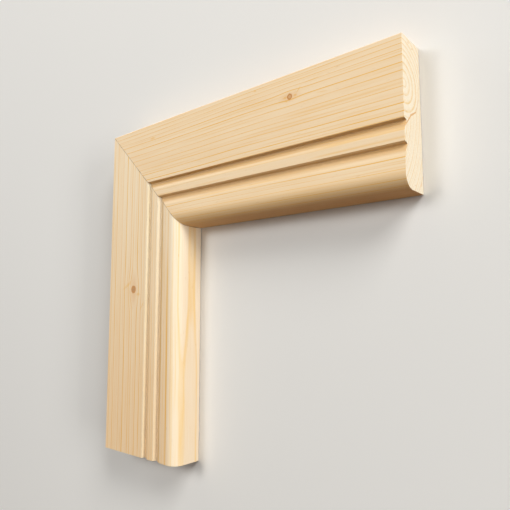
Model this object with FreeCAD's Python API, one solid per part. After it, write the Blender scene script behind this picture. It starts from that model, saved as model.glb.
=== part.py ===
"""A mitred corner of pine architrave: a head length and a jamb length of one moulding, lying on their backs.

The moulded face looks up. The head runs along +X and the jamb along -Y from their shared mitre, and the
origin is under the middle of the corner's outline, on the plane of the backs.
"""
import FreeCAD, Part
import math
import os

# Driving dimensions, in millimetres.

# Lengths of the two pieces, along the outer edge, from the sawn end to the tip of the mitre.
head_length = 215.0
jamb_length = 213.0

# The planed stock. The thickness is that of the wide flat, which is called the face below.
face_width = 70.0
thickness = 19.0
arris_radius = 0.5

# The rounded nose along the inner edge. The slope up to it would pass the inner edge this far above the face.
nose_radius = 7.2
nose_rise = 0.85
slope_width = 15.6

# The shoulder that rises steeply out of the inner quirk and turns into that slope, below the face.
shoulder_width = 4.2
shoulder_drop = 0.3
shoulder_radius = 8.0

# The quirks, the two narrow grooves. Depths are below the face, and each steep wall leans by its run.
outer_quirk_depth = 2.5
inner_quirk_depth = 2.7
outer_wall_run = 0.5
inner_wall_run = 0.9
lip_radius = 0.5

# The flat band between the quirks, and the ramp that rises to it out of the outer quirk.
band_width = 5.4
band_drop = 0.1
ramp_width = 4.6
ramp_top_radius = 4.0

# How far the saw runs past the stock on every side of the mitre.
saw_overrun = 5.0

# Stations across the section, from the outer edge.
shoulder_station = face_width - slope_width
inner_quirk_station = shoulder_station - shoulder_width
inner_lip_station = inner_quirk_station - inner_wall_run
ramp_top_station = inner_lip_station - band_width
outer_quirk_station = ramp_top_station - ramp_width
outer_lip_station = outer_quirk_station - outer_wall_run


def section_point(across, height):
    """A point of the section: across from the outer edge, and height above the back."""
    return FreeCAD.Vector(across, 0, height)


def rounding(before, corner, after, radius):
    """The arc that rounds the corner of a section between two straight runs."""
    to_before = (before - corner).normalize()
    to_after = (after - corner).normalize()
    half_angle = to_before.getAngle(to_after) / 2
    setback = radius / math.tan(half_angle)
    to_centre = (to_before + to_after).normalize()
    nearest = corner + to_centre * (radius / math.sin(half_angle) - radius)
    return Part.Arc(corner + to_before * setback, nearest, corner + to_after * setback)


def straight(start, end):
    """A straight run of the section."""
    return Part.LineSegment(start, end)


def section_face():
    """The moulding's section, from the outer back edge over the moulded face to the inner back edge."""
    band_height = thickness - band_drop
    outer_back = section_point(0, 0)
    outer_front = section_point(0, thickness)
    outer_lip = section_point(outer_lip_station, thickness)
    outer_quirk = section_point(outer_quirk_station, thickness - outer_quirk_depth)
    ramp_top = section_point(ramp_top_station, band_height)
    inner_lip = section_point(inner_lip_station, band_height)
    inner_quirk = section_point(inner_quirk_station, thickness - inner_quirk_depth)
    shoulder = section_point(shoulder_station, thickness - shoulder_drop)
    inner_front = section_point(face_width, thickness + nose_rise)
    inner_back = section_point(face_width, 0)

    arris = rounding(outer_back, outer_front, outer_lip, arris_radius)
    first_lip = rounding(outer_front, outer_lip, outer_quirk, lip_radius)
    ramp = rounding(outer_quirk, ramp_top, inner_lip, ramp_top_radius)
    second_lip = rounding(ramp_top, inner_lip, inner_quirk, lip_radius)
    turn = rounding(inner_quirk, shoulder, inner_front, shoulder_radius)
    nose = rounding(shoulder, inner_front, inner_back, nose_radius)

    curves = [
        straight(outer_back, arris.StartPoint),
        arris,
        straight(arris.EndPoint, first_lip.StartPoint),
        first_lip,
        straight(first_lip.EndPoint, outer_quirk),
        straight(outer_quirk, ramp.StartPoint),
        ramp,
        straight(ramp.EndPoint, second_lip.StartPoint),
        second_lip,
        straight(second_lip.EndPoint, inner_quirk),
        straight(inner_quirk, turn.StartPoint),
        turn,
        straight(turn.EndPoint, nose.StartPoint),
        nose,
        straight(nose.EndPoint, inner_back),
        straight(inner_back, outer_back),
    ]
    return Part.Face(Part.Wire([curve.toShape() for curve in curves]))


def mitre_waste(tip, turn):
    """The wedge that the saw takes off at 45 degrees. Turn is 1 for a tip that points along +Y, or -1."""
    low = -saw_overrun
    high = face_width + saw_overrun
    corners = [
        FreeCAD.Vector(low, tip - turn * low, low),
        FreeCAD.Vector(high, tip - turn * high, low),
        FreeCAD.Vector(high, tip - turn * low, low),
    ]
    plan = Part.Face(Part.makePolygon(corners + corners[:1]))
    return plan.extrude(FreeCAD.Vector(0, 0, thickness + 2 * saw_overrun))


def moulding(length, tip, turn):
    """A length of the moulding along +Y, its outer edge on X = 0, with one end mitred."""
    stick = section_face().extrude(FreeCAD.Vector(0, length, 0))
    return stick.cut(mitre_waste(tip, turn))


def jamb():
    """The upright length: its foot is square, and the tip of its mitre is at the top."""
    piece = moulding(jamb_length, jamb_length, 1)
    piece.translate(FreeCAD.Vector(-head_length / 2, -jamb_length / 2, 0))
    return piece


def head():
    """The top length: the tip of its mitre is at the left, and its right end is square."""
    piece = moulding(head_length, 0, -1)
    piece.rotate(FreeCAD.Vector(0, 0, 0), FreeCAD.Vector(0, 0, 1), -90)
    piece.translate(FreeCAD.Vector(-head_length / 2, jamb_length / 2, 0))
    return piece


def main():
    """Writes each piece to its own file."""
    os.makedirs("parts", exist_ok=True)
    pieces = {"architrave_head": head(), "architrave_jamb": jamb()}
    for name, piece in pieces.items():
        piece.exportStep(f"parts/{name}.step")
        print(name, "volume", round(piece.Volume), "mm3, valid", piece.isValid(), "solids", len(piece.Solids))


main()
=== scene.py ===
# %% [markdown]
# # A mitred corner of pine architrave
# Architrave is the moulding that frames a door or a window. Two short lengths of one moulding, a head
# and a jamb, are sawn at 45 degrees and glued into a corner. The corner lies on its back with the
# moulded face up. The packed model holds the size and place of each length, so it is loaded first, as a
# frame that nothing here moves.

# %% Load the frame
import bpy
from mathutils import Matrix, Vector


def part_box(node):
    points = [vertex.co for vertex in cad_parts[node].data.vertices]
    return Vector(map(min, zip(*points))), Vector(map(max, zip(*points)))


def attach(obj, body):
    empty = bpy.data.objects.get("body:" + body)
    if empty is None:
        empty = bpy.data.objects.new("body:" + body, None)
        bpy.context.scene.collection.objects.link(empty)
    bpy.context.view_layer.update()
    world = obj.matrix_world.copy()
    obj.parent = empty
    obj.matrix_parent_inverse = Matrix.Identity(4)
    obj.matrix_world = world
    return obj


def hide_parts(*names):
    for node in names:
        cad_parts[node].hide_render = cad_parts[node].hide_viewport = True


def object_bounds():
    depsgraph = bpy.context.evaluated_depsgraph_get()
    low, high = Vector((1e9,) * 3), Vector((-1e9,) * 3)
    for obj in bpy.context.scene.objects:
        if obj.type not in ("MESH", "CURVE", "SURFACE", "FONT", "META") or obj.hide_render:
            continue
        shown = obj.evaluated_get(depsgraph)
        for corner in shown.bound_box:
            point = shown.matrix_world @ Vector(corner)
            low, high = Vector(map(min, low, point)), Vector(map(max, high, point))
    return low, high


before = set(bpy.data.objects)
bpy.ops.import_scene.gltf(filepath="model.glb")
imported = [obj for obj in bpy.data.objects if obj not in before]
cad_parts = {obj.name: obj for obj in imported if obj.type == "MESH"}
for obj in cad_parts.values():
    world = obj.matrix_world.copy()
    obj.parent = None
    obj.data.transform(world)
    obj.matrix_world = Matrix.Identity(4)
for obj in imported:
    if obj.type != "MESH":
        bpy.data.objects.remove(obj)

cad_low, cad_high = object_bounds()
cad_size = [round(side * 1000, 1) for side in cad_high - cad_low]
print("frame", sorted(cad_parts), "size in mm", cad_size)

# %% [markdown]
# ## The two lengths
# Head and jamb are the same stick, one of them turned a quarter turn and mirrored about the mitre. One
# could be modelled, copied and mirrored. Here a length is described by the tip of its mitre, the way it
# runs and the way across its face. Then one set of steps makes both, nothing is turned inside out, and
# every edge can be found by how far along and across it lies.

# %% Describe the lengths
import bpy
import bmesh
import math
from collections import namedtuple
from mathutils import Vector

Length = namedtuple("Length", "name node tip run across long")

head_low, head_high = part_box("architrave_head")
jamb_low, jamb_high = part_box("architrave_jamb")
mitre_tip = Vector((head_low.x, head_high.y, 0))
rightwards = Vector((1, 0, 0))
downwards = Vector((0, -1, 0))
upright = Vector((0, 0, 1))
head_long = head_high.x - head_low.x
jamb_long = jamb_high.y - jamb_low.y
head = Length("head_moulding", "architrave_head", mitre_tip, rightwards, downwards, head_long)
jamb = Length("jamb_moulding", "architrave_jamb", mitre_tip, downwards, rightwards, jamb_long)
lengths = (head, jamb)
face_width = head_high.y - head_low.y


def along(length, point):
    """How far a point lies from the tip of the mitre, along the stick."""
    return (point - length.tip).dot(length.run)


def across(length, point):
    """How far a point lies from the outer edge, across the face."""
    return (point - length.tip).dot(length.across)


for length in lengths:
    print(length.name, round(length.long * 1000, 1), "mm long")

# %% [markdown]
# ## Stock off the saw
# A moulding starts as a planed stick. A cube scaled to the stick is the same start here. It runs a
# little past the tip of the mitre, as the real stick does before it is cut, so that the saw has wood on
# both sides. Its thickness is that of the wide flat, which most of the section is measured from.

# %% Lay the stock
MM = 0.001
thickness = 19 * MM
saw_overrun = 5 * MM


def lay_stock(length):
    """Adds the square stick that a length is moulded from."""
    bpy.ops.object.select_all(action="DESELECT")
    full_length = length.long + saw_overrun
    size = length.run * full_length + length.across * face_width + upright * thickness
    middle = length.tip + size / 2 - length.run * saw_overrun
    bpy.ops.mesh.primitive_cube_add(size=1, location=middle, scale=[abs(side) for side in size])
    stick = bpy.context.object
    stick.name = length.name
    stick.data.name = length.name
    bpy.ops.object.transform_apply(location=True, rotation=True, scale=True)
    return stick


sticks = {length.name: lay_stock(length) for length in lengths}
print("stock", list(sticks))

# %% [markdown]
# ## The moulded face
# The cutter leaves, from the outer edge: a wide flat, a narrow groove called a quirk, a ramp up to a
# flat band, a second quirk, a shoulder, and a gentle slope up to the rounded nose. The section could be
# drawn as a curve and swept. Here lines are ruled along the top face and some are pushed down, as a
# gouge would do it, because then each arris of the section stays an edge that can be picked and rounded
# by its own amount. A drop below nought lifts a line: the slope rises to the inner edge.

# %% Stations across the face
Line = namedtuple("Line", "station drop")

outer_lip = Line(38.8 * MM, 0.0)
outer_quirk = Line(39.3 * MM, 2.5 * MM)
ramp_top = Line(43.9 * MM, 0.1 * MM)
inner_lip = Line(49.3 * MM, 0.1 * MM)
inner_quirk = Line(50.2 * MM, 2.7 * MM)
shoulder = Line(54.4 * MM, 0.3 * MM)
inner_edge = Line(face_width, -0.81 * MM)
ruled_lines = (outer_lip, outer_quirk, ramp_top, inner_lip, inner_quirk, shoulder)
print("lines at", [round(line.station / MM, 1) for line in ruled_lines], "mm")

# %% [markdown]
# ## Picking by place
# By hand, an edge is picked with a click. In a script it is picked by where it lies or which way it
# faces. One helper does that for points, edges and faces: it clears the selection, selects what passes
# a test, and can measure each thing that it picked.

# %% Pick by place
CLOSE = 0.01 * MM


def near(value, target):
    """True where two lengths are the same for the eye."""
    return abs(value - target) < CLOSE


def choose(kind, test, measure=lambda item: item.index):
    """Selects the vertices, edges or faces that pass a test, and nothing else, and measures them."""
    bpy.ops.mesh.select_mode(type=kind)
    bpy.ops.mesh.select_all(action="DESELECT")
    mesh = bmesh.from_edit_mesh(bpy.context.object.data)
    items = {"VERT": mesh.verts, "EDGE": mesh.edges, "FACE": mesh.faces}[kind]
    chosen = [item for item in items if test(item)]
    for item in chosen:
        item.select_set(True)
    measures = [measure(item) for item in chosen]
    bmesh.update_edit_mesh(bpy.context.object.data)
    return measures


def edit(stick):
    """Starts work on one stick in edit mode, with no other object selected."""
    bpy.ops.object.select_all(action="DESELECT")
    bpy.context.view_layer.objects.active = stick
    stick.select_set(True)
    bpy.ops.object.mode_set(mode="EDIT")


print("things closer than", CLOSE / MM, "mm count as one")

# %% [markdown]
# ## Ruling and sinking
# Bisect is a straight cut through whatever is selected. With only the top face selected it rules a line
# along the stick and leaves the sides alone. Once all the lines are ruled, each is moved to its height,
# and the faces between them tilt into walls, ramps and slopes.

# %% Rule the lines and sink the quirks
facing_up = 0.9


def rule_line(length, station):
    """Cuts the top face, and only that, along a line of the section."""
    choose("FACE", lambda face: face.normal.z > facing_up)
    bpy.ops.mesh.bisect(plane_co=length.tip + length.across * station, plane_no=length.across)


def sink_line(length, line):
    """Pushes a ruled line down into the wood, or lifts it."""

    def on_line(point):
        return near(across(length, point.co), line.station) and near(point.co.z, thickness)

    choose("VERT", on_line)
    bpy.ops.transform.translate(value=(0, 0, -line.drop))


def mould_face(length):
    """Rules the section's lines along a stick and gives each its height."""
    for line in ruled_lines:
        rule_line(length, line.station)
    for line in (*ruled_lines, inner_edge):
        sink_line(length, line)


for length in lengths:
    edit(sticks[length.name])
    mould_face(length)
    bpy.ops.object.mode_set(mode="OBJECT")
    print(length.name, "ruled:", len(sticks[length.name].data.polygons), "faces")

# %% [markdown]
# ## Rounding the arrises
# No edge of a machined moulding is sharp. The nose is about a quarter round, the shoulder a slow arc,
# and the lips of the quirks and the outer arris are only eased. Bevel does all of them. It asks for a
# set-back from the edge, and for a wanted radius that depends on how far the surface turns there, so
# the turn is measured first. Bevel's profile is a circle at 0.5. The nose has a little more, because on
# the real moulding it starts fuller than a circle.

# %% Round the lengthwise edges
Rounding = namedtuple("Rounding", "line radius segments profile")

outer_edge = Line(0.0, 0.0)
outer_back = Line(0.0, thickness)
inner_back = Line(face_width, thickness)
circle = 0.5
fuller = 0.555
roundings = (
    Rounding(inner_edge, 8.2 * MM, 24, fuller),
    Rounding(shoulder, 8.0 * MM, 12, circle),
    Rounding(ramp_top, 4.0 * MM, 8, circle),
    Rounding(outer_lip, 0.3 * MM, 6, circle),
    Rounding(inner_lip, 0.3 * MM, 6, circle),
    Rounding(outer_edge, 0.5 * MM, 6, circle),
    Rounding(outer_quirk, 0.4 * MM, 6, circle),
    Rounding(inner_quirk, 0.4 * MM, 6, circle),
    Rounding(outer_back, 0.3 * MM, 3, circle),
    Rounding(inner_back, 0.3 * MM, 3, circle),
)
merge_distance = CLOSE / 100


def bevel_edges(set_back, segments, profile):
    """Bevels the selected edges."""
    bpy.ops.mesh.bevel(
        offset=set_back, segments=segments, profile=profile, affect="EDGES", clamp_overlap=False
    )


def round_edge(length, rounding):
    """Rounds the edge that runs along the stick on one line of the section."""
    station = rounding.line.station
    height = thickness - rounding.line.drop

    def on_line(edge):
        return all(near(across(length, end.co), station) and near(end.co.z, height) for end in edge.verts)

    turn = choose("EDGE", on_line, lambda edge: edge.calc_face_angle())[0]
    bevel_edges(rounding.radius * math.tan(turn / 2), rounding.segments, rounding.profile)


for length in lengths:
    edit(sticks[length.name])
    for rounding in roundings:
        round_edge(length, rounding)
    bpy.ops.mesh.select_all(action="SELECT")
    bpy.ops.mesh.remove_doubles(threshold=merge_distance)
    bpy.ops.object.mode_set(mode="OBJECT")
    print(length.name, "rounded:", len(sticks[length.name].data.polygons), "faces")

# %% [markdown]
# ## The mitre and the sawn ends
# The saw takes the end off at 45 degrees through the tip. Bisect with its far side cleared and the cut
# filled does just that. The rims are then broken by a hair: the sawn end as sandpaper leaves it, and
# the mitre a little less, so that the joint of the finished corner is a fine groove and not only a
# painted line.

# %% Saw the mitre and break the rims
end_break = 0.18 * MM
mitre_break = 0.1 * MM
break_segments = 2


def break_rim(on_rim, size):
    """Breaks the edges whose two ends both lie on a sawn face."""
    choose("EDGE", lambda edge: all(on_rim(end.co) for end in edge.verts))
    bevel_edges(size, break_segments, circle)


def saw_mitre(length):
    """Takes the waste off at 45 degrees, closes the cut and breaks the rims of both ends."""
    bpy.ops.mesh.select_all(action="SELECT")
    into_wood = (length.run - length.across).normalized()
    bpy.ops.mesh.bisect(plane_co=length.tip, plane_no=into_wood, use_fill=True, clear_inner=True)
    break_rim(lambda point: near(along(length, point), across(length, point)), mitre_break)
    break_rim(lambda point: near(along(length, point), length.long), end_break)
    bpy.ops.mesh.select_all(action="SELECT")
    bpy.ops.mesh.normals_make_consistent(inside=False)


for length in lengths:
    edit(sticks[length.name])
    saw_mitre(length)
    bpy.ops.object.mode_set(mode="OBJECT")
    print(length.name, "sawn:", len(sticks[length.name].data.polygons), "faces")

# %% [markdown]
# ## A kit for nodes
# The wood is painted by nodes. They could be placed and linked one by one, but a long graph is easier
# to read as short sentences than as rows of links. So one class holds the nodes of a material, or of
# the world, and adds a node and joins its sockets in one go. Its verbs here are sums on numbers and on
# points.

# %% Sums in nodes
class Nodes:
    """The nodes of one material or world, with short ways to add nodes and to join them."""

    def __init__(self, owner):
        owner.use_nodes = True
        self.owner = owner
        self.tree = owner.node_tree

    def join(self, value, socket):
        """Links a socket to a node's output, or sets it to a plain value."""
        if isinstance(value, bpy.types.NodeSocket):
            self.tree.links.new(value, socket)
        else:
            socket.default_value = value

    def add(self, kind, values=(), **settings):
        """A new node. Values go to its sockets by number or name, and settings to its options."""
        node = self.tree.nodes.new("ShaderNode" + kind)
        for name, setting in settings.items():
            setattr(node, name, setting)
        for key, value in dict(values).items():
            self.join(value, node.inputs[key])
        return node

    def sum(self, operation, *values):
        """One step of arithmetic on numbers."""
        return self.add("Math", enumerate(values), operation=operation).outputs[0]

    def product(self, number, *others):
        """Numbers multiplied together."""
        for other in others:
            number = self.sum("MULTIPLY", number, other)
        return number

    def move(self, operation, *values):
        """One step of arithmetic on points or colours."""
        return self.add("VectorMath", enumerate(values), operation=operation).outputs["Vector"]

    def reach(self, operation, *values):
        """A length or a dot product, which turns points into a number."""
        return self.add("VectorMath", enumerate(values), operation=operation).outputs["Value"]

    def parts(self, place):
        """The three numbers of a place."""
        return self.add("SeparateXYZ", {0: place}).outputs

    def point(self, parts):
        """A place made of its numbers. Those that aren't given are nought."""
        return self.add("CombineXYZ", parts).outputs[0]


print("sums:", [verb for verb in vars(Nodes) if not verb.startswith("_")])

# %% [markdown]
# ## A kit for finishes
# On top of the sums come a painter's verbs: fade between two numbers, open a window on a band, follow a
# curve, make a stretched noise, mark a soft oval spot, lay one colour over another, and raise a bump.
# One more tells what is seen from light that is only passed on, which the floor and the room need.

# %% A painter's verbs
class Finish(Nodes):
    """The nodes of one finish, with the verbs that paint it."""

    def shade(self, name, value):
        """Links or sets one socket of the material's own shader."""
        self.join(value, self.tree.nodes["Principled BSDF"].inputs[name])

    def fade(self, value, low, high, start=0.0, end=1.0):
        """Goes smoothly from start to end while the value goes from low to high."""
        values = {"Value": value, "From Min": low, "From Max": high, "To Min": start, "To Max": end}
        return self.add("MapRange", values, interpolation_type="SMOOTHSTEP").outputs[0]

    def window(self, value, begin, full, wane, clear, peak=1.0):
        """Comes in from begin to full, and goes again from wane to clear."""
        return self.product(self.fade(value, begin, full), self.fade(value, wane, clear, peak, 0.0))

    def curve(self, value, points):
        """Turns one number from nought to one into another, by straight runs through points."""
        node = self.add("FloatCurve", {"Value": value})
        line = node.mapping.curves[0].points
        line[0].location = points[0]
        line[1].location = points[-1]
        for place in points[1:-1]:
            line.new(*place)
        for point in line:
            point.handle_type = "VECTOR"
        node.mapping.update()
        return node.outputs[0]

    def noise(self, place, size, seed=0.0, detail=2.0):
        """Noise whose blotches are as long, as wide and as high as the size says."""
        shrink = [1 / side for side in size]
        far_off = (seed, seed * 1.7, seed * 2.3)
        stretched = self.move("MULTIPLY_ADD", place, shrink, far_off)
        return self.add("TexNoise", {"Vector": stretched, "Scale": 1.0, "Detail": detail}).outputs

    def spot(self, place, centre, half, turn=0.0, soft=0.35):
        """A soft oval on the first two numbers of a place: one inside and nought outside."""
        values = {
            "Vector": place,
            "Location": (*centre, 0),
            "Rotation": (0, 0, math.radians(turn)),
            "Scale": (*half, 1),
        }
        inside = self.add("Mapping", values, vector_type="TEXTURE").outputs[0]
        flat = self.move("MULTIPLY", inside, (1, 1, 0))
        return self.fade(self.reach("LENGTH", flat), 1 - soft, 1 + soft, 1.0, 0.0)

    def lay(self, amount, under, over):
        """One colour over another, by an amount from nought to one."""
        return self.add("Mix", {0: amount, 6: under, 7: over}, data_type="RGBA").outputs[2]

    def bump(self, height, strength, distance):
        """Lets the surface stand proud by a pattern of heights."""
        bump = self.add("Bump", {"Strength": strength, "Distance": distance, "Height": height})
        self.shade("Normal", bump.outputs[0])

    def seen(self):
        """One for what is seen, straight, mirrored or through glass, and nought for light passed on."""
        ray = self.add("LightPath").outputs
        straight_or_mirrored = self.sum("MAXIMUM", ray["Is Camera Ray"], ray["Is Glossy Ray"])
        return self.sum("MAXIMUM", straight_or_mirrored, ray["Is Transmission Ray"])


print("painter's verbs:", [verb for verb in vars(Finish) if not verb.startswith("_")])

# %% [markdown]
# ## Where the grain runs
# A length of timber is cut out of a trunk, so its grain is not drawn on the faces: it fills the solid,
# and each face shows where it meets it. A picture wrapped round the stick would break at every arris.
# Every point is therefore measured in millimetres along, across and up from the back, out of the
# stick's own Object coordinates. The trunk is never quite straight, so the point is swayed a little
# before its ring is looked up.

# %% The place in the stick
TO_MM = 1000.0
ALONG, ACROSS, UP = range(3)
slow_bends = (95, 40, 40)
quick_bends = (22, 7, 7)
quick_sway = 0.12
middle_grey = (0.5, 0.5, 0.5)


def place_in_stick(finish, length):
    """A point as millimetres along the stick, across from the outer edge and up from the back."""
    point = finish.add("TexCoord").outputs["Object"]
    from_tip = finish.move("SUBTRACT", point, length.tip)
    ways = [way * TO_MM for way in (length.run, length.across, upright)]
    return finish.point(enumerate(finish.reach("DOT_PRODUCT", from_tip, way) for way in ways))


def swayed(finish, place, seed, slow_sway):
    """The place, moved off sideways by the slow and the quick bends of the trunk."""
    for size, sway in ((slow_bends, slow_sway), (quick_bends, quick_sway)):
        drift = finish.noise(place, size, seed)["Color"]
        centred = finish.move("SUBTRACT", drift, middle_grey)
        place = finish.move("MULTIPLY_ADD", centred, (0, 2 * sway, 2 * sway), place)
    return place


def leant(finish, place, start, end, shift):
    """The place, moved across by a shift that comes in between two distances along the stick."""
    lean = finish.fade(finish.parts(place)[ALONG], start, end, 0.0, shift)
    return finish.move("SUBTRACT", place, finish.point({ACROSS: lean}))


print("the grain bends every", slow_bends[ALONG], "and", quick_bends[ALONG], "mm or so")

# %% [markdown]
# ## Growth rings
# Each year adds a pale band of early wood and a thin tan line of late wood. The ring that a point
# belongs to is its distance from the pith, the middle of the trunk. The head was cut close to the pith,
# whose arcs show on its sawn end. Past a brown shake the rest of it belongs to other, finer rings. The
# jamb was cut far out: its rings cross the face squarely, and the last of them grazes the inner edge,
# where it opens into a long flame. Years are not equal, so the rings are given one by one: the head's
# by their widths, and the jamb's by the stations where they come out on its face. Vigour is how strong
# each year's line is.

# %% Ring sizes
from itertools import accumulate

Growth = namedtuple("Growth", "pith squash radii vigour")

face_height = thickness * TO_MM
core_pith = (0, 23.0, 17.7)
core_widths = (2.3, 3.7, 3.6, 3.7, 2.4, 2.6, 2.5, 2.6, 2.8, 2.7, 2.6)
core_vigour = (0.7, 0.7, 1.0, 0.9, 0.8, 0.8, 0.85, 0.7, 0.7, 0.6, 0.6)
outer_pith = (0, 30.0, 60.0)
outer_start = 38.0
outer_repeats = 6
outer_widths = (1.9, 1.2, 1.5, 1.1, 2.2, 1.4) * outer_repeats
outer_vigour = (0.9, 0.4, 0.7, 0.3, 0.8, 0.5) * outer_repeats
unsquashed = 1.0
core_radii = tuple(accumulate((0.0, *core_widths)))
outer_radii = tuple(accumulate((outer_start, *outer_widths)))
head_core = Growth(core_pith, unsquashed, core_radii, core_vigour)
head_outer = Growth(outer_pith, unsquashed, outer_radii, outer_vigour)

jamb_pith = (0, -70.0, 7.8)
jamb_squash = 2.5
jamb_outer_lines = (-1.5, 2.3, 6.5, 8.8, 10.2, 12.6, 17.5, 23.2, 25.2)
jamb_inner_lines = (30.2, 34.3, 36.9, 41.0, 45.7, 48.0, 54.3, 57.6)
jamb_nose_lines = (61.0, 65.4, 67.4, 72.0, 77.0)
jamb_outer_vigour = (0.6, 0.8, 0.45, 0.7, 0.75, 1.0, 0.6, 0.95)
jamb_inner_vigour = (0.95, 0.85, 0.4, 0.5, 0.45, 0.4, 0.8, 0.5)
jamb_nose_vigour = (0.9, 0.35, 0.6, 0.65, 0.65)


def ring_radius(station):
    """How far out a ring of the jamb lies that comes out on the face at a station."""
    return math.hypot(station - jamb_pith[ACROSS], jamb_squash * (face_height - jamb_pith[UP]))


jamb_radii = [ring_radius(line) for line in jamb_outer_lines + jamb_inner_lines + jamb_nose_lines]
jamb_vigour = jamb_outer_vigour + jamb_inner_vigour + jamb_nose_vigour
jamb_growth = Growth(jamb_pith, jamb_squash, jamb_radii, jamb_vigour)
print("rings of the head", len(core_radii), "and", len(outer_radii), "of the jamb", len(jamb_radii))

# %% [markdown]
# ## Years and late wood
# A wave texture would give rings of one width. Here a curve through the chosen ring sizes turns
# millimetres from the pith into years, and the fraction of a year says how far the season has gone.
# Late wood is a thin line at the very end of it, with a faint blush before. In a dry spell growth halts
# for a while, and then the middle of the year holds a second, weaker line, called a false ring.

# %% Years and late wood
Year = namedtuple("Year", "count vigour")

line_in_year = 0.9
streak_size = (32, 2.5, 2.5)
dry_spell_size = (70, 5.0, 5.0)
false_ring = (0.36, 0.5, 0.53, 0.64)
false_ring_most = 0.38
blush_most = 0.1


def years(finish, place, growth):
    """The years between a point and the innermost ring, and how strong that year's line is."""
    from_pith = finish.move("SUBTRACT", place, growth.pith)
    radius = finish.reach("LENGTH", finish.move("MULTIPLY", from_pith, (0, 1, growth.squash)))
    inner = growth.radii[0]
    span = growth.radii[-1] - inner
    count = len(growth.radii) - 1
    share = finish.sum("DIVIDE", finish.sum("SUBTRACT", radius, inner), span)
    ring_ends = [((ring - inner) / span, year / count) for year, ring in enumerate(growth.radii)]
    grown = finish.curve(share, ring_ends)
    strengths = [((year + line_in_year) / count, vigour) for year, vigour in enumerate(growth.vigour)]
    strength = finish.curve(grown, [(0.0, growth.vigour[0]), *strengths, (1.0, growth.vigour[-1])])
    return Year(finish.sum("MULTIPLY", grown, float(count)), strength)


def late_wood(finish, place, year, line_share):
    """How much late wood a point holds, for lines that take up a share of each year."""
    season = finish.sum("FRACT", year.count)
    line = finish.window(season, 1 - line_share, 1 - 0.4 * line_share, 1 - 0.2 * line_share, 1.0)
    streaky = finish.noise(place, streak_size, seed=4.0)["Fac"]
    kept = finish.fade(streaky, 0.25, 0.7, start=0.45, end=1.0)
    line = finish.product(line, finish.product(year.vigour, kept))
    blush = finish.fade(season, 0.3, 1.0, end=blush_most)
    dry_spell = finish.noise(place, dry_spell_size, seed=27.0)["Fac"]
    halted = finish.fade(dry_spell, 0.42, 0.62, end=false_ring_most)
    false_line = finish.product(finish.window(season, *false_ring), halted)
    return finish.sum("ADD", finish.sum("ADD", line, blush), false_line)


print("a false ring fills", false_ring, "of a year")

# %% [markdown]
# ## The shake in the head
# On the head's sawn end a brown, crooked line runs from the outer quirk down to the back, along the
# outside of one year's ring: a shake, where the wood parted as it dried. It also divides the two sets
# of rings. It could be cut into the mesh, but it is closed, a mere stain. A curve gives how far across
# the line lies at each height, and the sign of the distance from it says which side a point is on.

# %% The shake
shake_foot = ((0.0, 14.0), (2.2, 21.7), (2.9, 26.1), (4.4, 29.9))
shake_rise = ((6.0, 32.8), (11.6, 35.8), (16.3, 40.5), (19.0, 43.0))
shake_path = shake_foot + shake_rise
crook_size = (60, 2.2, 2.2)
crook = 1.2


def past_shake(finish, place):
    """How far a point lies past the shake, in millimetres across the stick."""
    parts = finish.parts(place)
    wide = face_width * TO_MM
    height_share = finish.sum("DIVIDE", parts[UP], face_height)
    path_shares = [(height / face_height, station / wide) for height, station in shake_path]
    path = finish.curve(height_share, path_shares)
    crooked = finish.noise(place, crook_size, seed=8.0, detail=3.0)["Fac"]
    wander = finish.sum("SUBTRACT", crooked, 0.5)
    line = finish.sum("MULTIPLY_ADD", wander, crook, finish.sum("MULTIPLY", path, wide))
    return finish.sum("SUBTRACT", parts[ACROSS], line)


def head_rings(finish, place):
    """The head's year: the core's rings up to the shake, and the finer ones past it."""
    beyond = finish.sum("GREATER_THAN", past_shake(finish, place), 0.0)
    core = years(finish, place, head_core)
    outer = years(finish, place, head_outer)
    sides = [{0: beyond, 2: inside, 3: outside} for inside, outside in zip(core, outer)]
    return Year(*[finish.add("Mix", side).outputs[0] for side in sides])


def jamb_rings(finish, place):
    """The jamb's year."""
    return years(finish, place, jamb_growth)


print("shake from", shake_path[0], "to", shake_path[-1])

# %% [markdown]
# ## Colours of the wood
# Pine is cream where it grew in spring and tan where it grew in late summer. The heart of the trunk is a
# shade browner and the sap wood near the bark paler, so the two noses, which lie in different parts of
# the trunk, have colours of their own. These colours also carry painted light and shade: the head's
# nose, in shade, is painted more orange for its warm shade, and the jamb's lit nose and its late lines
# paler for the highlight on them. The late wood holds much less blue than the early wood, which is what
# makes its lines look golden and not pink. Colours are written as a chart gives them and turned into the
# light that Blender counts in.

# %% Colours of the wood
def srgb(red, green, blue):
    """A colour as a painter's chart gives it, from 0 to 255, as the light that Blender counts in."""

    def light(level):
        share = level / 255
        return share / 12.92 if share <= 0.04045 else ((share + 0.055) / 1.055) ** 2.4

    return (light(red), light(green), light(blue), 1.0)


early_wood = srgb(247, 221, 183)
late_wood_colour = srgb(238, 182, 72)
tanned_wood = srgb(238, 202, 154)
# painted highlight as well as sap wood: the jamb's lit nose and its late lines are paler for the highlight
# on them
sap_and_highlight_wood = srgb(247, 230, 200)
sap_and_highlight_late = srgb(245, 206, 128)
# painted shade as well as heart wood: the head's shaded nose is more orange for its warm shade
heart_and_shade_wood = srgb(243, 208, 158)
print("early wood", [round(part, 2) for part in early_wood[:3]])

# %% [markdown]
# ## Knots
# A knot is a cut branch. The rings of the trunk part to go round it, so the place is pushed aside near
# the knot before its ring is looked up. The knot itself is an oval of brown with a redder rim, in a
# halo that is drawn out along the grain. Each length has one pin knot on its flat face, which goes no
# deeper than the middle of the stick.

# %% Knots
Knot = namedtuple("Knot", "centre half push spread rim heart")

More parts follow.
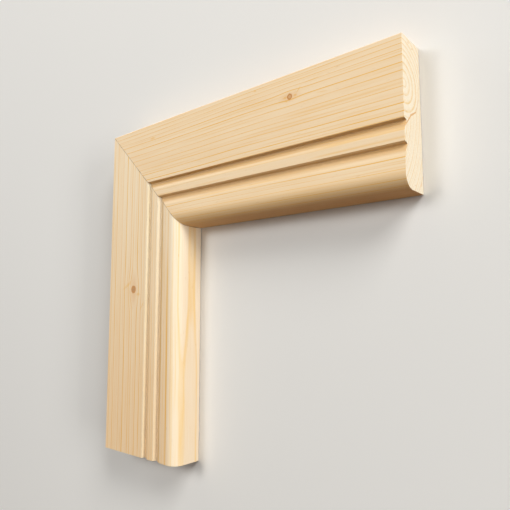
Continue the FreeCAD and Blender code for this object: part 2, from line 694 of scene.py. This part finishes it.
head_knot = Knot(
    centre=(153.9, 12.5),
    half=(1.6, 1.65),
    push=0.75,
    spread=(7.0, 3.2),
    rim=srgb(200, 134, 66),
    heart=srgb(213, 170, 120),
)
jamb_knot = Knot(
    centre=(108.5, 26.5),
    half=(2.5, 2.4),
    push=2.8,
    spread=(10.0, 5.0),
    rim=srgb(208, 148, 87),
    heart=srgb(196, 149, 102),
)
knot_halo = srgb(230, 176, 108)
knot_floor = (10.0, 12.0)
halo_reach = (3.4, 1.25)
halo_most = 0.4
heart_share = 0.55
ragged_size = (1.4, 1.4, 1.4)
ragged_by = 0.35


def parted(finish, place, knot):
    """The place before the branch pushed the grain aside."""
    offset = finish.move("SUBTRACT", place, (*knot.centre, 0))
    shares = finish.move("DIVIDE", offset, (*knot.spread, 1))
    distance = finish.reach("LENGTH", finish.move("MULTIPLY", shares, (1, 1, 0)))
    falloff = finish.sum("EXPONENT", finish.sum("MULTIPLY", finish.sum("POWER", distance, 2.0), -1.0))
    push = finish.product(finish.parts(shares)[ACROSS], falloff, 2.0 * knot.push)
    return finish.move("SUBTRACT", place, finish.point({ACROSS: push}))


def knotted(finish, place, wood, knot):
    """The wood with a knot, its halo along the grain and its redder rim."""
    near_face = finish.fade(finish.parts(place)[UP], *knot_floor)
    wobble = finish.noise(place, ragged_size, seed=31.0)["Color"]
    shifted = finish.move("SUBTRACT", place, (ragged_by, ragged_by, 0))
    ragged = finish.move("MULTIPLY_ADD", wobble, (2 * ragged_by, 2 * ragged_by, 0), shifted)
    halo_half = [side * reach for side, reach in zip(knot.half, halo_reach)]
    halo = finish.spot(ragged, knot.centre, halo_half, soft=0.75)
    disc = finish.spot(ragged, knot.centre, knot.half, soft=0.16)
    heart = finish.spot(ragged, knot.centre, [side * heart_share for side in knot.half], soft=0.5)
    wood = finish.lay(finish.product(halo, finish.product(near_face, halo_most)), wood, knot_halo)
    branch = finish.lay(heart, knot.rim, knot.heart)
    return finish.lay(finish.product(disc, near_face), wood, branch)


print("knots at", head_knot.centre, "and", jamb_knot.centre, "mm along and across")

# %% [markdown]
# ## Fibres, flecks and marks
# A planed face has a silky run of fibres, short brown flecks where resin canals are cut along, and here
# and there a stroke or a smear where a twig or an old hurt was grown over. The fibres and flecks are
# noise that is drawn out along the grain. The marks are few and each has its place, so they are soft
# ovals.

# %% Fibres, flecks and marks
resin_fleck = srgb(206, 158, 100)
fleck_size = (5.0, 0.32, 0.32)
fleck_most = 0.45
fibre_size = (26.0, 0.55, 0.55)
dull_fibre = (0.985, 0.96, 0.91, 1)
bright_fibre = (1.01, 1.03, 1.075, 1)


def flecked(finish, place, wood):
    """The wood with short resin flecks along the grain."""
    speck = finish.noise(place, fleck_size, seed=21.0, detail=1.0)["Fac"]
    return finish.lay(finish.fade(speck, 0.72, 0.8, end=fleck_most), wood, resin_fleck)


def fibred(finish, place, wood):
    """The wood with its silky fibres, and the height of those fibres."""
    fibre = finish.noise(place, fibre_size, seed=11.0, detail=4.0)["Fac"]
    tint = finish.lay(finish.fade(fibre, 0.2, 0.8), dull_fibre, bright_fibre)
    return finish.move("MULTIPLY", wood, tint), fibre


def marked(finish, place, wood, marks):
    """The wood with small strokes and smears of late wood."""
    for centre, half, turn, amount in marks:
        stroke = finish.spot(place, centre, half, turn, soft=0.7)
        wood = finish.lay(finish.product(stroke, amount), wood, late_wood_colour)
    return wood


print("fibres are about", fibre_size[ALONG], "mm long")

# %% [markdown]
# ## Painted light and shade, and a tint along the stick
# The head's quirks and the ramps that rise out of them carry painted shade, a warm brown where the lips
# cast their shadow. The slopes and the narrow walls carry painted light and shade: each is a shade duller
# or brighter than the flats, as light falls on it. The jamb is paler and bluer near the mitre, and darker
# and more tan towards its foot. All three are bands across or along the stick, so they are windows on the
# place and need no noise.

# %% Painted light and shade, and a tint along the stick
# painted shade: a warm brown for the shadow that the lips cast into the quirks and onto the ramps
quirk_shade_brown = srgb(209, 164, 100)
outer_quirk_shade = (38.5, 39.0, 41.8, 44.2)
inner_quirk_shade = (49.4, 50.0, 52.6, 55.4)
untouched = (1, 1, 1, 1)
tint_run = (15.0, 215.0)
face_ends = (63.0, 69.0)


def quirk_shaded(finish, place, wood, amount):
    """The wood with painted shade in its two quirks and on the ramps that rise out of them."""
    station = finish.parts(place)[ACROSS]
    for band in (outer_quirk_shade, inner_quirk_shade):
        wood = finish.lay(finish.window(station, *band, amount), wood, quirk_shade_brown)
    return wood


def slope_shaded(finish, place, wood, slopes):
    """The wood with painted light and shade on its slopes and walls, a shade duller or brighter than the
    flats.
    """
    station = finish.parts(place)[ACROSS]
    for band, tint in slopes:
        shade = finish.lay(finish.window(station, *band), untouched, tint)
        wood = finish.move("MULTIPLY", wood, shade)
    return wood


def tinted_along(finish, place, wood, ages):
    """The wood, tinted from one shift near the mitre to another at the far end, on its face but not its
    nose.
    """
    parts = finish.parts(place)
    tint = finish.lay(finish.fade(parts[ALONG], *tint_run), *ages)
    tint = finish.lay(finish.fade(parts[ACROSS], *face_ends), tint, untouched)
    return finish.move("MULTIPLY", wood, tint)


print("dust between", outer_quirk_shade[0], "and", inner_quirk_shade[-1], "mm across")

# %% [markdown]
# ## The glue line
# The mitre shows as a hairline of glue and dust in the groove between the two broken rims. It is darker
# in some places than in others, so its depth follows a noise. Both lengths carry half of it, on planed
# and sawn faces alike.

# %% The glue line
glue_brown = srgb(120, 88, 58)
glue_reach = (0.16, 0.42)
glue_patch = (6.0, 6.0, 6.0)


def glued(finish, place, wood):
    """The wood with the hairline of the mitre along its edge."""
    parts = finish.parts(place)
    from_mitre = finish.sum("SUBTRACT", parts[ALONG], parts[ACROSS])
    patchy = finish.noise(place, glue_patch, seed=17.0)["Fac"]
    depth = finish.fade(patchy, 0.3, 0.7, start=0.3, end=0.75)
    hairline = finish.fade(from_mitre, *glue_reach, start=1.0, end=0.0)
    return finish.lay(finish.product(hairline, depth), wood, glue_brown)


print("glue shows", glue_reach[-1], "mm from the mitre")

# %% [markdown]
# ## What is special to each length
# The two lengths came from different trunks, or from different parts of one. Each has its own way for
# the grain to drift, its own marks, and its own painted light and shade. All of it is gathered in one
# description for each, so that the finish itself is made by one function. A mark has a middle, half
# sizes, a turn and a strength, and a slope's painted shade has a band across the stick and a tint.

# %% A form for a look
Planed = namedtuple(
    "Planed", "grain_of rings knot marks line_share dust slopes ages nose_wood nose_late nose_span seed"
)
print("a look has", Planed._fields)

# %% [markdown]
# ## The head's look
# The head's knot has a few short strokes beside it, and some smears lie farther off. Its quirks carry
# painted shade, and both its slopes are painted a shade duller than the flats, as light falls on them. Its
# nose is heart wood, painted a little more orange, partly for the warm shade on it.

# %% The head's look
def head_grain(finish, place):
    """The head's grain drifts across by a millimetre as it nears the mitre."""
    drifted = leant(finish, place, start=140.0, end=30.0, shift=1.0)
    return swayed(finish, drifted, seed=2.0, slow_sway=0.4)


head_marks = (
    ((159.5, 10.2), (1.7, 0.25), -49, 0.6),
    ((151.0, 12.4), (1.1, 0.6), 0, 0.6),
    ((157.4, 12.6), (0.9, 0.6), 0, 0.6),
    ((151.7, 14.5), (0.9, 0.35), 40, 0.5),
    ((43.0, 9.8), (2.2, 0.7), 0, 0.5),
    ((130.5, 2.8), (0.9, 0.4), 20, 0.5),
    ((173.5, 15.4), (3.0, 0.3), 5, 0.4),
    ((168.0, 7.4), (4.0, 0.3), -3, 0.35),
)
# painted shade: the head's ramp tops, its shoulder and its slope are darkened a little
head_slope_shades = (
    ((41.0, 42.5, 43.8, 45.0), (0.95, 0.95, 0.95, 1)),
    ((52.0, 53.5, 60.5, 63.0), (0.96, 0.96, 0.96, 1)),
)
head_along_tints = (untouched, untouched)
head_look = Planed(
    grain_of=head_grain,
    rings=head_rings,
    knot=head_knot,
    marks=head_marks,
    line_share=0.185,
    # painted shade in the head's quirks, at this strength
    dust=0.65,
    slopes=head_slope_shades,
    ages=head_along_tints,
    nose_wood=heart_and_shade_wood,
    nose_late=late_wood_colour,
    nose_span=(59.0, 66.0),
    seed=2.0,
)
print("head:", len(head_marks), "marks,", len(head_slope_shades), "slopes")

# %% [markdown]
# ## The jamb's look
# Long, thin strokes lengthen the flame along the jamb's inner edge. The walls under its lips and the foot
# of its shoulder carry painted shade, the top of its ramp painted light, and its nose and inner edge are
# toned down a little, all as light falls on them. Its face is paler and bluer near the mitre and darker
# and more tan towards its foot. Its nose is sap wood, painted paler, partly for the highlight on it. Its
# quirks carry no painted shade.

# %% The jamb's look
def jamb_grain(finish, place):
    """The jamb's rings swell a little half way down, so the outermost comes out through the inner edge."""
    swollen = leant(finish, place, start=108.0, end=168.0, shift=0.5)
    return swayed(finish, swollen, seed=5.0, slow_sway=0.2)


jamb_marks = (
    ((105.8, 19.6), (4.2, 0.9), -59, 0.35),
    ((119.2, 35.7), (2.6, 0.4), -33, 0.4),
    ((111.7, 31.4), (0.9, 1.6), 0, 0.4),
    ((152.0, 60.7), (58.0, 0.65), 0.4, 0.75),
    ((155.0, 64.4), (48.0, 0.4), 0.3, 0.4),
    ((135.0, 53.9), (95.0, 1.0), 0, 0.3),
)
# painted light and shade: lip walls and the shoulder's foot darkened, ramp top brightened, nose and inner
# edge toned down
jamb_slope_shades = (
    ((38.3, 38.8, 39.15, 39.5), (0.8, 0.89, 0.94, 1)),
    ((41.8, 42.8, 44.6, 46.0), (1.07, 1.08, 1.1, 1)),
    ((48.8, 49.3, 50.0, 50.4), (0.79, 0.85, 0.89, 1)),
    ((52.2, 52.8, 53.6, 54.4), (0.95, 0.9, 0.82, 1)),
    ((65.0, 68.0, 90.0, 91.0), (0.95, 0.95, 0.96, 1)),
)
# the jamb is paler and bluer near the mitre, and darker and more tan towards its foot
jamb_along_tints = ((1.02, 1.075, 1.165, 1), (0.98, 0.935, 0.9, 1))
jamb_look = Planed(
    grain_of=jamb_grain,
    rings=jamb_rings,
    knot=jamb_knot,
    marks=jamb_marks,
    line_share=0.21,
    dust=0.0,
    slopes=jamb_slope_shades,
    ages=jamb_along_tints,
    nose_wood=sap_and_highlight_wood,
    nose_late=sap_and_highlight_late,
    nose_span=(60.8, 64.5),
    seed=5.0,
)
print("jamb:", len(jamb_marks), "marks,", len(jamb_slope_shades), "slopes")

# %% [markdown]
# ## Planed pine
# The planed finish lays one thing over another: the wood of the trunk, its late lines, flecks, marks and
# knot, then the painted shade and light on the quirks, slopes and walls, the tint along the stick, and the
# glue. Bare planed wood has a dull shine, a little rougher where the fibres stand up. The bump is faint,
# because the late wood stands only a few thousandths of a millimetre proud of the early wood.

# %% Planed faces
blotch_size = (70, 14, 14)
blotch_most = 0.3
smoothest = 0.5
roughest = 0.66
late_rise = 0.5
planed_shine = 0.25
planed_bump = 0.25
planed_relief = 0.005 * MM


def planed_pine(length, look):
    """The finish of a length's planed faces."""
    finish = Finish(bpy.data.materials.new(length.name + "_planed"))
    place = place_in_stick(finish, length)
    grain = look.grain_of(finish, parted(finish, place, look.knot))
    late = late_wood(finish, place, look.rings(finish, grain), look.line_share)
    blotch = finish.noise(place, blotch_size, seed=look.seed + 3.0)["Fac"]
    wood = finish.lay(finish.fade(blotch, 0.45, 0.75, end=blotch_most), early_wood, tanned_wood)
    on_nose = finish.fade(finish.parts(place)[ACROSS], *look.nose_span)
    wood = finish.lay(on_nose, wood, look.nose_wood)
    late_colour = finish.lay(on_nose, late_wood_colour, look.nose_late)
    wood = finish.lay(late, wood, late_colour)
    wood = flecked(finish, grain, wood)
    wood = marked(finish, place, wood, look.marks)
    wood = knotted(finish, place, wood, look.knot)
    wood, fibre = fibred(finish, grain, wood)
    # painted shade in the quirks
    wood = quirk_shaded(finish, place, wood, look.dust)
    # painted light and shade on the slopes and walls
    wood = slope_shaded(finish, place, wood, look.slopes)
    # a tint that changes along the stick
    wood = tinted_along(finish, place, wood, look.ages)
    wood = glued(finish, place, wood)
    finish.shade("Base Color", wood)
    finish.shade("Roughness", finish.fade(fibre, 0.2, 0.8, smoothest, roughest))
    finish.shade("Specular IOR Level", planed_shine)
    finish.bump(finish.sum("MULTIPLY_ADD", late, late_rise, fibre), planed_bump, planed_relief)
    return finish.owner


planed = {head.name: planed_pine(head, head_look), jamb.name: planed_pine(jamb, jamb_look)}
print("planed finishes", [material.name for material in planed.values()])

# %% [markdown]
# ## Sawn ends
# Across the grain the same rings show as arcs, greyer and less clear, with the open ends of the fibres
# as fine speckle and the teeth of the saw as faint ridges. Their pale colour is partly painted highlight,
# for the bright light on the head's sawn end. The head's end also carries the shake and a few brown nicks.
# Because the rings fill the solid, their lines meet those of the planed faces at the rim by themselves.

# %% Sawn ends
# partly painted highlight: the end colours are paler and greyer for the bright light on the sawn end
end_early = srgb(234, 226, 205)
end_late = srgb(226, 198, 142)
end_line_share = 0.45
end_late_most = 0.85
shake_brown = srgb(208, 158, 92)
shake_most = 0.8
nick_most = 0.5
speckle_size = (0.4, 0.4, 0.4)
tooth_size = (5.0, 9.0, 0.35)
sawn_roughness = 0.75
sawn_shine = 0.2
sawn_bump = 0.3
sawn_relief = 0.06 * MM
end_nicks = (
    ((2.1, 12.2), (0.3, 0.8), 12),
    ((3.4, 8.0), (0.25, 1.0), -20),
    ((65.8, 2.6), (0.9, 0.45), 0),
    ((67.4, 9.4), (0.25, 0.5), 10),
)


def shaken_end(finish, place, wood):
    """The head's end with its shake and its few nicks."""
    distance = finish.sum("ABSOLUTE", past_shake(finish, place))
    parts = finish.parts(place)
    width = finish.fade(parts[UP], 3.0, 12.0, start=0.45, end=0.65)
    shake = finish.fade(finish.sum("DIVIDE", distance, width), 0.3, 1.1, start=shake_most, end=0.0)
    wood = finish.lay(shake, wood, shake_brown)
    on_end = finish.point({0: parts[ACROSS], 1: parts[UP]})
    for centre, half, turn in end_nicks:
        nick = finish.spot(on_end, centre, half, turn, soft=0.6)
        wood = finish.lay(finish.product(nick, nick_most), wood, shake_brown)
    return wood


def sawn_end(length, look, shaken):
    """The finish of a length's sawn faces."""
    finish = Finish(bpy.data.materials.new(length.name + "_sawn"))
    place = place_in_stick(finish, length)
    ring = look.rings(finish, look.grain_of(finish, place))
    late = late_wood(finish, place, ring, end_line_share)
    wood = finish.lay(finish.product(late, end_late_most), end_early, end_late)
    speckle = finish.noise(place, speckle_size, seed=41.0, detail=3.0)["Fac"]
    shade = finish.fade(speckle, 0.25, 0.75, start=0.93, end=1.05)
    wood = finish.add("VectorMath", {0: wood, "Scale": shade}, operation="SCALE").outputs[0]
    if shaken:
        wood = shaken_end(finish, place, wood)
    finish.shade("Base Color", glued(finish, place, wood))
    finish.shade("Roughness", sawn_roughness)
    finish.shade("Specular IOR Level", sawn_shine)
    teeth = finish.noise(place, tooth_size, seed=43.0)["Fac"]
    finish.bump(finish.sum("ADD", speckle, teeth), sawn_bump, sawn_relief)
    return finish.owner


sawn = {head.name: sawn_end(head, head_look, True), jamb.name: sawn_end(jamb, jamb_look, False)}
print("sawn finishes", [material.name for material in sawn.values()])

# %% [markdown]
# ## Dress the two lengths
# Every face that looks along the grain, the mitre included, takes the sawn finish, and the rest takes
# the planed one. Smooth shading alone would let the small round faces bend the light on the wide flats
# beside them. Weighted normals lean each corner towards its largest face, so the flats stay flat. Then
# each length is tied to the frame: it rides on the one body and stands in for its packed part, which is
# hidden.

# %% Dress and tie
end_facing = 0.6
smooth_angle = math.radians(30)
sawn_slot = 1


def dress(length):
    """Gives a length its two finishes and ties it to the frame."""
    stick = sticks[length.name]
    stick.data.materials.append(planed[length.name])
    stick.data.materials.append(sawn[length.name])
    edit(stick)
    choose("FACE", lambda face: abs(face.normal.dot(length.run)) > end_facing)
    stick.active_material_index = sawn_slot
    bpy.ops.object.material_slot_assign()
    bpy.ops.object.mode_set(mode="OBJECT")
    bpy.ops.object.shade_smooth_by_angle(angle=smooth_angle)
    bpy.ops.object.modifier_add(type="WEIGHTED_NORMAL")
    stick.modifiers[-1].keep_sharp = True
    bpy.ops.object.modifier_apply(modifier=stick.modifiers[-1].name)
    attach(stick, "root")
    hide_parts(length.node)
    return stick


for length in lengths:
    stick = dress(length)
    triangles = sum(len(face.vertices) - 2 for face in stick.data.polygons)
    print(stick.name, "dressed:", triangles, "triangles")

# %% [markdown]
# ## The floor
# The corner lies on a round, plain floor that ends before the lamps round it, so that no dark floor
# behind them shows. A pale floor throws much light up under the nose, where the wood should be in deep
# shade. This one is pale to the eye, by its Light Path, but what it passes on is little and warm.

# %% Floor
floor_gap = 0.2 * MM
floor_radius = 1.6
floor_sides = 96
floor_seen = srgb(238, 237, 234)
floor_bounce = srgb(136, 98, 68)
floor_roughness = 0.9


def pale_floor():
    """The floor, pale where it is seen and dull where it only passes light on."""
    bpy.ops.object.select_all(action="DESELECT")
    bpy.ops.mesh.primitive_circle_add(
        vertices=floor_sides, radius=floor_radius, fill_type="NGON", location=(0, 0, -floor_gap)
    )
    floor = bpy.context.object
    floor.name = "floor"
    finish = Finish(bpy.data.materials.new("floor_paper"))
    finish.shade("Base Color", finish.lay(finish.seen(), floor_bounce, floor_seen))
    finish.shade("Roughness", floor_roughness)
    finish.shade("Specular IOR Level", 0.0)
    floor.data.materials.append(finish.owner)
    return floor


print(pale_floor().name, "laid")

# %% [markdown]
# ## Lamps
# A moulding is lit from the side, because only slanting light draws its quirks. A window and a strip,
# both on the right, light the jamb's nose and the head's sawn end. A low strip on the left catches the
# outer edges, a panel overhead fills the flats, and a weak, warm card lends the head's shaded nose its
# brown glow. All are soft boxes at one distance, each given by its bearing and its height, as a
# photographer would place it.

# %% Lamps
Lamp = namedtuple("Lamp", "name bearing height wide tall watts colour")

plain = (1.0, 0.99, 0.97)
warm = (1.0, 0.58, 0.26)
lamps = (
    Lamp("front_window", 45, 22, 1.0, 0.7, 31.0, plain),
    Lamp("right_strip", 0, 14, 1.0, 0.3, 21.0, plain),
    Lamp("left_strip", 150, 3, 1.0, 0.2, 22.0, plain),
    Lamp("ceiling_panel", 135, 65, 1.0, 0.7, 18.6, plain),
    Lamp("warm_card", -90, 15, 1.0, 0.7, 2.8, warm),
)
aim = Vector((-20, 20, 10)) * MM
lamp_distance = 2.0


def hang_lamp(lamp):
    """A soft box, seen from the corner at a bearing from +X towards +Y and a height over the floor."""
    bearing = math.radians(lamp.bearing)
    height = math.radians(lamp.height)
    flat = math.cos(height)
    away = Vector((flat * math.cos(bearing), flat * math.sin(bearing), math.sin(height)))
    bpy.ops.object.light_add(type="AREA", location=aim + away * lamp_distance)
    light = bpy.context.object
    light.name = lamp.name
    light.rotation_euler = away.to_track_quat("Z", "Y").to_euler()
    light.data.shape = "RECTANGLE"
    light.data.size = lamp.wide
    light.data.size_y = lamp.tall
    light.data.energy = lamp.watts
    light.data.color = lamp.colour


for lamp in lamps:
    hang_lamp(lamp)
print("lamps", [lamp.name for lamp in lamps])

# %% [markdown]
# ## The room
# Past the floor's edge the world shows. A bright world would light the corner from all round and wash
# out its shadows. So the walls are pale only where they are seen or mirrored, and give no other light.
# The Standard view shows the colours as they were chosen.

# %% Room
wall_colour = srgb(226, 225, 222)


def pale_room():
    """Walls that are pale where they are seen or mirrored, and give no other light."""
    room = Finish(bpy.data.worlds.new("room"))
    room.tree.nodes.clear()
    walls = room.add("Background", {"Color": wall_colour, "Strength": room.seen()})
    room.add("OutputWorld", {"Surface": walls.outputs[0]})
    bpy.context.scene.world = room.owner


pale_room()
bpy.context.scene.view_settings.view_transform = "Standard"
print("world", bpy.context.scene.world.name)

# %% [markdown]
# ## Camera
# The camera is close, some 30 centimetres from the corner, so the head and the jamb run away from it in
# strong perspective. Its place, turn and lens were fitted so that the straight edges of the corner fall
# where they do in the photograph.

# %% Camera
camera_place = Vector((193.26, -15.63, 222.09)) * MM
camera_turn = [math.radians(angle) for angle in (6.23407, 39.96011, -0.02914)]
camera_lens = 35.614
camera_sensor = 36.0
nearest_seen = 10 * MM
bpy.ops.object.camera_add(location=camera_place, rotation=camera_turn)
camera = bpy.context.object
camera.data.lens = camera_lens
camera.data.sensor_width = camera_sensor
camera.data.clip_start = nearest_seen
bpy.context.scene.camera = camera
print("camera", round((camera_place - aim).length, 3), "m from the corner")

# %% [markdown] The dressed corner should fill the box of the packed model and stay inside it.
